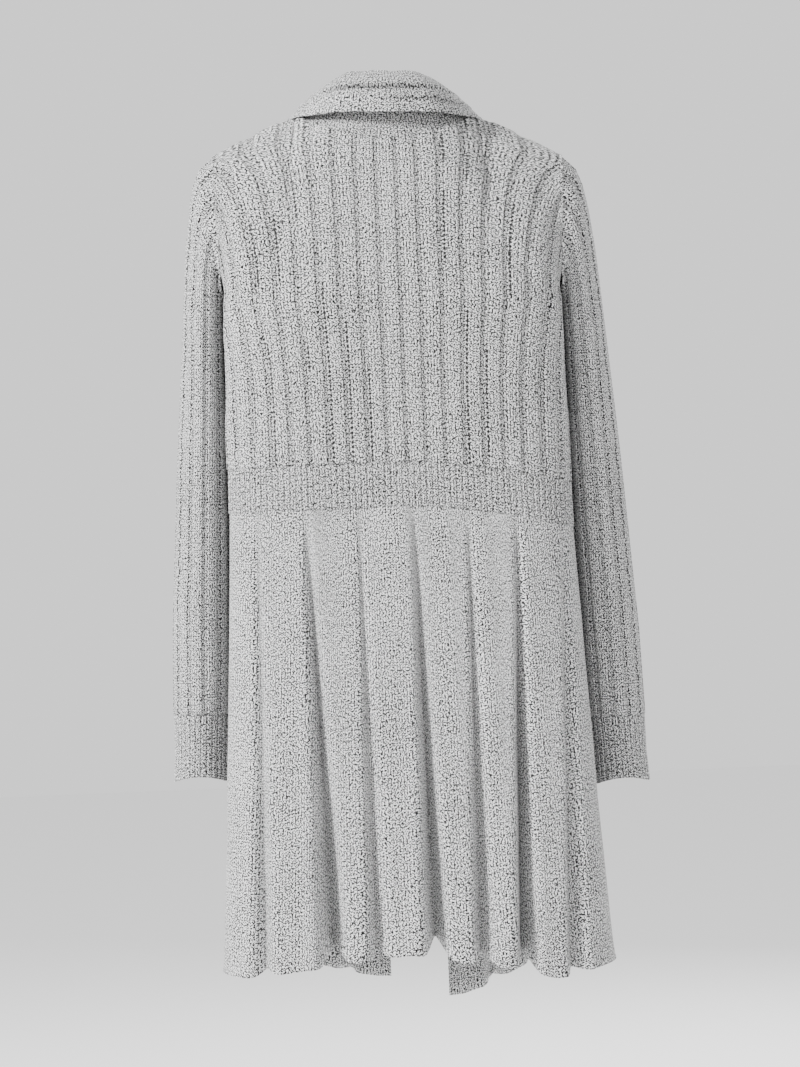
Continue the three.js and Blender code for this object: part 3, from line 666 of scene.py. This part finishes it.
def fine_rib_nodes():
    """Geometry nodes that raise a smooth piece into fine ribs along its normals, no two quite alike."""
    tree = bpy.data.node_groups.new("fine_ribs", "GeometryNodeTree")
    tree.interface.new_socket("Cloth", in_out="INPUT", socket_type="NodeSocketGeometry")
    inputs = {}
    kinds = {"Ribs": "Int", "Rise": "Float", "Evenness": "Float", "Seed": "Int", "Knit": "Material"}
    for name, kind in kinds.items():
        socket = tree.interface.new_socket(name, in_out="INPUT", socket_type="NodeSocket" + kind)
        inputs[name] = socket.identifier
    tree.interface.new_socket("Cloth", in_out="OUTPUT", socket_type="NodeSocketGeometry")
    n = Nodes(tree)
    given = n.add("NodeGroupInput").outputs
    place = n.add("GeometryNodeInputNamedAttribute", data_type="FLOAT")
    place.inputs["Name"].default_value = "across"
    phase = n.maths("MULTIPLY", place.outputs["Attribute"], given["Ribs"])
    wave = n.maths("COSINE", n.maths("MULTIPLY", phase, 2 * math.pi))
    crown = n.maths("POWER", n.maths("MULTIPLY_ADD", wave, -0.5, 0.5), FINE_ROUNDNESS)
    chance = n.add("FunctionNodeRandomValue", data_type="FLOAT")
    n.plug(given["Evenness"], chance.inputs[2])
    n.plug(1.0, chance.inputs[3])
    n.plug(n.maths("FLOOR", phase), chance.inputs["ID"])
    n.plug(given["Seed"], chance.inputs["Seed"])
    lift = n.maths("MULTIPLY", n.maths("MULTIPLY", given["Rise"], chance.outputs[1]), crown)
    offset = n.add("ShaderNodeVectorMath", operation="SCALE")
    n.plug(n.add("GeometryNodeInputNormal").outputs[0], offset.inputs[0])
    n.plug(lift, offset.inputs["Scale"])
    moved = n.add("GeometryNodeSetPosition")
    n.plug(given["Cloth"], moved.inputs["Geometry"])
    n.plug(offset.outputs[0], moved.inputs["Offset"])
    real = n.add("GeometryNodeRealizeInstances")
    n.plug(moved.outputs[0], real.inputs[0])
    knitted = n.add("GeometryNodeSetMaterial")
    n.plug(real.outputs[0], knitted.inputs["Geometry"])
    n.plug(given["Knit"], knitted.inputs["Material"])
    n.plug(knitted.outputs[0], n.add("NodeGroupOutput").inputs[0])
    return tree, inputs


FINE_RIB_TREE, FINE_RIB_INPUTS = fine_rib_nodes()


def raise_ribs(piece, ribs, material):
    """Put the raised mesh in the place of the piece's smooth one, and leave no modifier behind."""
    maker = piece.modifiers.new("fine_ribs", "NODES")
    maker.node_group = FINE_RIB_TREE
    given = {"Ribs": ribs, "Rise": FINE_RISE / 1000, "Evenness": FINE_EVENNESS}
    given.update({"Seed": FINE_SEED, "Knit": material})
    for name, value in given.items():
        maker[FINE_RIB_INPUTS[name]] = value
    piece.update_tag()
    raised = bpy.data.meshes.new_from_object(piece.evaluated_get(bpy.context.evaluated_depsgraph_get()))
    piece.modifiers.remove(maker)
    smooth_mesh = piece.data
    piece.data = raised
    bpy.data.meshes.remove(smooth_mesh)
    raised.name = piece.name


def level_height(across, up):
    return np.zeros_like(across)


def across_mark(across, up):
    return {"across": across}


WAIST_TONE = 0.50
# Strength of the painted shade along the fine ribs of the waistband and cuffs
FINE_SHADE = 1.5
fine_knit = knit_material("marled_fine_rib", WAIST_TONE, pitch=FINE_PITCH, wales=2, ribs=FINE_SHADE)
piece = cloth_piece(
    "back_waistband_knit", waistband(panel_start, panel_stop, 1), (600, 16),
    BACK_FINE_RIBS * FINE_PITCH, -1, level_height, extra=across_mark,
)
raise_ribs(piece, BACK_FINE_RIBS, fine_knit)
finish(piece, "back_waistband", fine_knit)
for sign, side_name, turn in ((1, "left", -1), (-1, "right", 1)):
    piece = cloth_piece(
        side_name + "_front_waistband_knit", waistband(front_start, front_stop, sign), (224, 16),
        FRONT_FINE_RIBS * FINE_PITCH, turn, level_height, extra=across_mark,
    )
    raise_ribs(piece, FRONT_FINE_RIBS, fine_knit)
    finish(piece, side_name + "_front_waistband", fine_knit)

# Skirt
# Plain close knit, shaped in gores and linked under the waistband. Each gore line starts as a fine
# crease, opens into a trough on the way down and ends in a fluted hem. The fronts hang lower.

# Folds: X at the waist, X at the hem, depth, width of the steep side and width of the slow side
BACK_FOLDS = [
    (142, 155, 14, 12, 20),
    (95, 86, 37, 15, 25),
    (42, 42, 17, 11, 20),
    (-12, -16, 37, 14, 22),
    (-65, -60, 24, 9, 22),
    (-113, -104, 39, 13, 20),
    (-158, -152, 15, 11, 20),
]
LEFT_FOLDS = [(148, 152, 17, 13, 20), (112, 113, 26, 14, 19), (76, 72, 15, 12, 17)]
RIGHT_FOLDS = [(150, 155, 20, 13, 18), (114, 117, 15, 12, 19), (78, 77, 27, 14, 18)]
FOLD_GROWTH = 0.85
FOLD_LIFT = 0.5
FOLD_TOP_SHARE = 0.34
LIP_SHARE = 0.08
LIP_WIDTH = 7.0
LINE_WIDTH = 1.6
SKIRT_TOP_Z = WAIST_BOTTOM_Z - SEAM_GAP
HEM_Z = -850.0
HEM_X = [-190, -137, -85, -36, 4, 60, 110, 170, 191]
BACK_HEM = [-853, -864, -849, -842, -833, -839, -845, -853, -850]
FRONT_HEM_SIDE_Z = -852.0
HEM_CURL = 0.012
LEFT_HEM_Z = -885.0
RIGHT_HEM_Z = -908.0


def back_hem(x):
    fine = np.linspace(-215, 215, 431)
    level = np.pad(np.interp(fine, HEM_X, BACK_HEM), 12, "edge")
    return np.interp(x, fine, np.convolve(level, np.ones(25) / 25, "valid"))


def front_hem(low):
    return lambda x: mix(low, FRONT_HEM_SIDE_Z, smooth((np.abs(x) - 30) / 150))


def skirt(folds, start, stop, hem, sign):
    behind = hem is back_hem

    def surface(across, up):
        rows = []
        for a, u in zip(across, up):
            z = mix(HEM_Z, SKIRT_TOP_Z, u[0])
            down = 1 - u[0]
            ring = section(z)
            share = mix(start(ring), stop(ring), a)
            depth = np.zeros_like(share)
            roll = np.zeros_like(share)
            spread = mix(FOLD_TOP_SHARE, 1.0, down)
            for waist_x, hem_x, deep, steep, slow in folds:
                x = mix(waist_x, hem_x, down)
                middle = share_at(ring, abs(x), behind) * (math.copysign(1, x) if behind else 1)
                off = (share - middle) * ring[3]
                reach = np.where(off > 0, steep, slow) * spread
                trough = np.cos(np.pi / 2 * np.clip(off / reach, -1, 1)) ** 2
                depth = np.maximum(depth, deep * down**FOLD_GROWTH * trough)
                lip = np.exp(-(((off - steep * spread * 1.25) / (LIP_WIDTH * spread)) ** 2))
                roll += LIP_SHARE * deep * down**1.2 * lip
                line = np.exp(-((off / LINE_WIDTH) ** 2)) * (1 - smooth((down - 0.30) / 0.4))
                depth = np.maximum(depth, line)
            x, y = around(ring, share)
            x0, y0 = around(ring, share - 0.003)
            x1, y1 = around(ring, share + 0.003)
            inward = np.stack([y1 - y0, x0 - x1], -1)
            inward /= np.linalg.norm(inward, axis=-1, keepdims=True)
            inward *= -np.sign(inward[:, 0] * x + inward[:, 1] * y)[:, None]
            x = (x + inward[:, 0] * (depth - roll)) * sign
            y = y + inward[:, 1] * (depth - roll)
            z = mix(SKIRT_TOP_Z + waist_dip(x), hem(x) + FOLD_LIFT * depth, down)
            rows.append(np.stack([x, y, z], -1))
        return np.array(rows)

    return surface


def ripple(across, up):
    """The slight unevenness of a soft knit, and a hem that curls a little outwards."""
    wave = 0.5 * np.sin(across * 41 + 3 * np.sin(up * 7)) * (1 - up)
    wave = wave + 0.35 * np.sin(across * 23 + up * 9)
    return wave + np.exp(-up / HEM_CURL)


SKIRT_TONE = 0.54
plain_knit = knit_material("marled_plain_knit", SKIRT_TONE)
piece = cloth_piece(
    "back_skirt_knit", skirt(BACK_FOLDS, panel_start, panel_stop, back_hem, 1), (250, 130), None, -1, ripple
)
finish(piece, "back_skirt", plain_knit)
fronts = ((1, "left", -1, LEFT_FOLDS, LEFT_HEM_Z), (-1, "right", 1, RIGHT_FOLDS, RIGHT_HEM_Z))
for sign, side_name, turn, folds, low in fronts:
    surface = skirt(folds, front_start, front_stop, front_hem(low), sign)
    piece = cloth_piece(side_name + "_front_skirt_knit", surface, (110, 130), None, turn, ripple)
    finish(piece, side_name + "_front_skirt", plain_knit)

# Front bands
# A narrow close-knitted edge down each front, from the top of the waistband to the hem.
BAND_WIDTH = 12.0


def front_band(hem, sign):
    def surface(across, up):
        rows = []
        for a, u in zip(across, up):
            z = mix(HEM_Z, WAIST_TOP_Z - SEAM_GAP, u[0])
            ring = section(z)
            x, y = around(ring, share_at(ring, FRONT_OPENING_HALF, False) + a * BAND_WIDTH / ring[3])
            x = x * sign
            down = np.clip((SKIRT_TOP_Z - z) / (SKIRT_TOP_Z - HEM_Z), 0, 1)
            rows.append(np.stack([x, y, z + waist_dip(x) * (1 - down) + (hem(x) - HEM_Z) * down], -1))
        return np.array(rows)

    return surface


for sign, side_name, turn, folds, low in fronts:
    piece = cloth_piece(
        side_name + "_front_band_knit", front_band(front_hem(low), sign), (16, 150), None, turn,
        lambda a, u: 0.6 * np.sin(np.pi * np.clip(a, 0, 1)) ** 0.5,
    )
    finish(piece, side_name + "_front_band", plain_knit)

# Sleeves
# Long tubes in the same wide rib as the bodice, linked into the armholes and hanging by the sides
# with a few soft folds at the elbow and above the cuffs.

# Rings down the arm: outer X and Z, inner X and Z, half depth and the Y of the middle
SLEEVE = [
    (188, -55, 170, -191, 48.5, -2),
    (194, -70, 171.5, -195, 49, -3),
    (199, -94, 172, -203, 50, -5),
    (204, -132, 172, -218, 50, -7),
    (209, -188, 172.5, -246, 49, -9),
    (215, -260, 173, -296, 47, -12),
    (222, -344, 174, -362, 45, -14),
    (228, -430, 176, -438, 43, -17),
    (234, -516, 179, -519, 41, -19),
    (237, -602, 182, -602, 37, -21),
]
ARMHOLE_STEP = 7.6
ARMHOLE_STEP_TOP = -2.2
STEP_CURVE = 3.0
SLEEVE_RIBS = 13
SLEEVE_SEAM_TURN = 0.5
SLEEVE_TOP_Z = -100.0
CUFF_TOP_Z = -600.0
LEFT_DROP = -6.0
RIGHT_DROP = 12.0


def ring_point(row, turn):
    out_x, out_z, in_x, in_z, deep, y = row
    lift = np.cos(2 * np.pi * turn)
    x = (out_x + in_x) / 2 + (out_x - in_x) / 2 * lift
    z = (out_z + in_z) / 2 + (out_z - in_z) / 2 * lift
    return np.stack([x, y + deep * np.sin(2 * np.pi * turn), z], -1)


def sleeve_head(turn):
    head = armhole(turn)
    high = (1 + np.cos(2 * np.pi * turn)) / 2
    head[:, 0] += SEAM_GAP + ARMHOLE_STEP_TOP + ARMHOLE_STEP * (1 - high) ** STEP_CURVE
    return head


def hung(z, drop):
    return z - drop * smooth((SLEEVE_TOP_Z - z) / (SLEEVE_TOP_Z - CUFF_TOP_Z))


def tube(rows, sign, headed, arch, drop):
    def surface(across, up):
        turn = across[0] + SLEEVE_SEAM_TURN
        rings = [ring_point(row, turn) for row in rows]
        if headed:
            rings = [sleeve_head(turn)] + rings
        made = []
        for u in up:
            along = (1 - u[0]) * (len(rings) - 1)
            i = min(len(rings) - 2, int(along))
            points = mix(rings[i], rings[i + 1], along - i)
            points[:, 2] += arch * (1 - u[0]) ** 2 * np.sin(2 * np.pi * turn) ** 2
            points[:, 0] *= sign
            points[:, 2] = hung(points[:, 2], drop)
            made.append(points)
        return np.array(made)

    return surface


LEFT_SLEEVE_CREASES = [
    (0.22, 0.86, 0.10, 0.030, 0.9, 2.0),
    (0.28, 0.78, 0.10, 0.035, 0.8, -1.8),
    (0.18, 0.52, 0.10, 0.030, 1.1, 1.6),
    (0.30, 0.45, 0.12, 0.035, 1.0, -1.6),
    (0.20, 0.22, 0.09, 0.025, 1.2, 1.6),
    (0.30, 0.08, 0.10, 0.020, 1.4, 1.8),
    (0.70, 0.50, 0.14, 0.040, -1.0, 1.8),
    (0.75, 0.10, 0.12, 0.025, -1.3, 1.6),
]
RIGHT_SLEEVE_CREASES = [
    (0.25, 0.88, 0.10, 0.030, 0.8, 1.8),
    (0.20, 0.74, 0.11, 0.035, 1.0, -1.8),
    (0.28, 0.56, 0.11, 0.030, 1.2, 1.8),
    (0.20, 0.40, 0.10, 0.030, 0.9, -1.5),
    (0.30, 0.26, 0.10, 0.028, 1.1, 1.5),
    (0.22, 0.07, 0.11, 0.020, 1.4, 1.9),
    (0.72, 0.45, 0.14, 0.040, -1.1, 1.8),
    (0.78, 0.14, 0.12, 0.025, -1.2, 1.5),
]
for sign, side_name, creases, drop in (
    (1, "left", LEFT_SLEEVE_CREASES, LEFT_DROP),
    (-1, "right", RIGHT_SLEEVE_CREASES, RIGHT_DROP),
):
    piece = cloth_piece(
        side_name + "_sleeve_knit", tube(SLEEVE, sign, True, 0.0, drop), (130, 130),
        SLEEVE_RIBS * RIB_PITCH, sign,
        lambda a, u, folds=creases: rib_height(a * SLEEVE_RIBS) + soft_creases(a, u, folds),
        closed=True,
    )
    finish(piece, side_name + "_sleeve", wide_knit)

# Cuffs
# Fine one by one rib like the waistband, linked to the sleeve's end, its free edge arched a little.
CUFF = [
    (237, -601, 182.3, -601, 36.7, -21),
    (237.5, -640, 185.5, -640, 33.5, -22),
    (240, -671, 186, -673, 34.5, -23),
]
CUFF_ARCH = 7.0
CUFF_RIBS = 32
for sign, side_name, drop in ((1, "left", LEFT_DROP), (-1, "right", RIGHT_DROP)):
    piece = cloth_piece(
        side_name + "_cuff_knit", tube(CUFF, sign, False, CUFF_ARCH, drop), (256, 24),
        CUFF_RIBS * FINE_PITCH, sign, level_height, closed=True, extra=across_mark,
    )
    raise_ribs(piece, CUFF_RIBS, fine_knit)
    finish(piece, side_name + "_cuff", fine_knit)

# Collar
# A doubled shawl strip linked to the neck and to the slanting fronts. It stands behind the neck,
# turns over at its roll and falls outside; in front it lies open down to the waistband.

# Points of the roll and of the free edge: round the nape by share, then down the front by height
COLLAR_SHARE = [0, 0.5, 0.85, 1]
COLLAR_BACK_ROLL = [(0, 36, 37), (30, 33, 37), (47, 22, 33), (57, 2, 22)]
COLLAR_BACK_FALL = [(0, 66, -3), (50, 57, -2), (79, 31, -3), (97, 2, -1)]
COLLAR_Z = [0, -25, -80, -150, -240, -310, -350]
COLLAR_ROLL = [
    (57, 2, 22),
    (62, -28, 2),
    (60, -66, -48),
    (50, -90, -135),
    (39, -101, -236),
    (32, -102, -310),
    (30.5, -96, -350),
]
COLLAR_FALL = [
    (97, 2, -1),
    (108, -28, -17),
    (112, -62, -66),
    (98, -98, -135),
    (76, -104, -236),
    (56, -104, -310),
    (45, -98, -350),
]
COLLAR_LIFT = 0.9
COLLAR_NAPE = 0.4
STAND_BOW = 0.08
FALL_BOW = 0.12


def from_rows(at, places, rows):
    rows = np.array(rows, dtype=float)
    order = np.argsort(places)
    return np.stack([np.interp(at, np.array(places)[order], rows[order, k]) for k in range(3)], -1)


def collar_lines(along):
    """The sewn edge, the roll and the free edge, from the right side of the waist round to the left."""
    t = np.abs(along)
    share = np.clip(t / COLLAR_NAPE, 0, 1)
    neck = (1 - share**NECK_SQUARENESS) ** NECK_FULLNESS
    dip = NECK_BACK_Z * (1 - share**NECK_DIP_CURVE) + COLLAR_LIFT
    seam_back = np.stack([NECK_HALF * share, NECK_BACK_Y * neck, dip], -1)
    down = np.clip((t - COLLAR_NAPE) / (1 - COLLAR_NAPE), 0, 1)
    z = mix(0.0, WAIST_TOP_Z + 1, down)
    out = np.interp(z, FRONT_EDGE_Z, FRONT_EDGE_OUT) - SEAM_GAP
    seam_front = []
    for height, aside in zip(z, out):
        ring = section(min(height, ARMPIT_Z))
        x, y = around(ring, share_at(ring, aside, False))
        lift = np.clip((height - ARMPIT_Z) / -ARMPIT_Z, 0, 1)
        seam_front.append((aside if height > ARMPIT_Z else x, y * (1 - lift**YOKE_CURVE), height))
    nape = (t < COLLAR_NAPE)[:, None]
    lines = [np.where(nape, seam_back, np.array(seam_front))]
    for behind, before in ((COLLAR_BACK_ROLL, COLLAR_ROLL), (COLLAR_BACK_FALL, COLLAR_FALL)):
        round_nape = from_rows(share, COLLAR_SHARE, behind)
        lines.append(np.where(nape, round_nape, from_rows(z, COLLAR_Z, before)))
    for line in lines:
        line[:, 0] *= np.where(along < 0, -1.0, 1.0)
        line[:, 2] += waist_dip(line[:, 0]) * down**5
    return lines


def eased(values, reach):
    """The values drawn smooth along their first way, with both ends kept."""
    edges = ((reach, reach),) + ((0, 0),) * (values.ndim - 1)
    padded = np.pad(values, edges, "reflect", reflect_type="odd")
    return sum(padded[i : i + len(values)] for i in range(2 * reach + 1)) / (2 * reach + 1)


def collar(across, up):
    seam, roll, fall = (eased(line, 4) for line in collar_lines(across[0] * 2 - 1))
    out = fall - seam
    out /= np.linalg.norm(out, axis=-1, keepdims=True)
    width = np.linalg.norm(roll - seam, axis=-1, keepdims=True)
    drop = np.linalg.norm(fall - roll, axis=-1, keepdims=True)
    rows = []
    for u in up[:, 0]:
        if u < 0.5:
            t = u / 0.5
            rows.append(mix(seam, roll, t) - out * STAND_BOW * width * math.sin(math.pi * t))
            continue
        t = (u - 0.5) / 0.5
        points = mix(roll, fall, t)
        x, y = points[:, 0], points[:, 1]
        aside, behind = np.clip(x / 60, -1, 1) * 0.4, np.clip(y / 25, -1, 1)
        away = np.stack([aside, behind, np.full_like(x, 0.5)], -1)
        away /= np.linalg.norm(away, axis=-1, keepdims=True)
        rows.append(points + away * FALL_BOW * drop * math.sin(math.pi * t))
    return eased(np.array(rows), 2)


COLLAR_CREASES = [
    (0.56, 0.84, 0.10, 0.030, 1.66, 1.4),
    (0.42, 0.86, 0.05, 0.030, 1.2, 1.2),
    (0.50, 0.95, 0.16, 0.030, 1.57, 0.9),
]
UPPER_STRIP = 3.2
LOWER_STRIP = 1.8


def collar_height(across, up):
    """Behind the neck the fall lies in three strips with a step down between each two."""
    behind = np.exp(-(((across - 0.5) / 0.19) ** 4)) * smooth((up - 0.44) / 0.08)
    steps = UPPER_STRIP * (1 - smooth((up - 0.715 - 0.02 * across) / 0.02))
    steps = steps + LOWER_STRIP * (1 - smooth((up - 0.855 + 0.03 * across) / 0.02))
    wave = 0.4 * np.sin(across * 61 + 2 * np.sin(up * 5))
    return behind * steps + soft_creases(across, up, COLLAR_CREASES) + wave


def collar_painted_shade(across, up):
    """Painted shade on the two lines where the strips lie over each other, darkest at the middle of each.
    """
    upper = np.exp(-(((up - 0.73 - 0.02 * across) / 0.02) ** 2))
    upper = upper * np.exp(-(((across - 0.52) / 0.13) ** 6))
    lower = np.exp(-(((up - 0.875 + 0.03 * across) / 0.018) ** 2))
    lower = lower * np.exp(-(((across - 0.42) / 0.10) ** 4))
    return {"crease": np.maximum(upper, 0.7 * lower)}


COLLAR_TONE = 0.50
# The collar's knit carries painted shade along its creases
collar_knit = knit_material("marled_collar_knit", COLLAR_TONE, painted_crease_shade=True)
piece = cloth_piece("shawl_collar_knit", collar, (300, 84), None, 1, collar_height, extra=collar_painted_shade)
finish(piece, "shawl_collar", collar_knit)
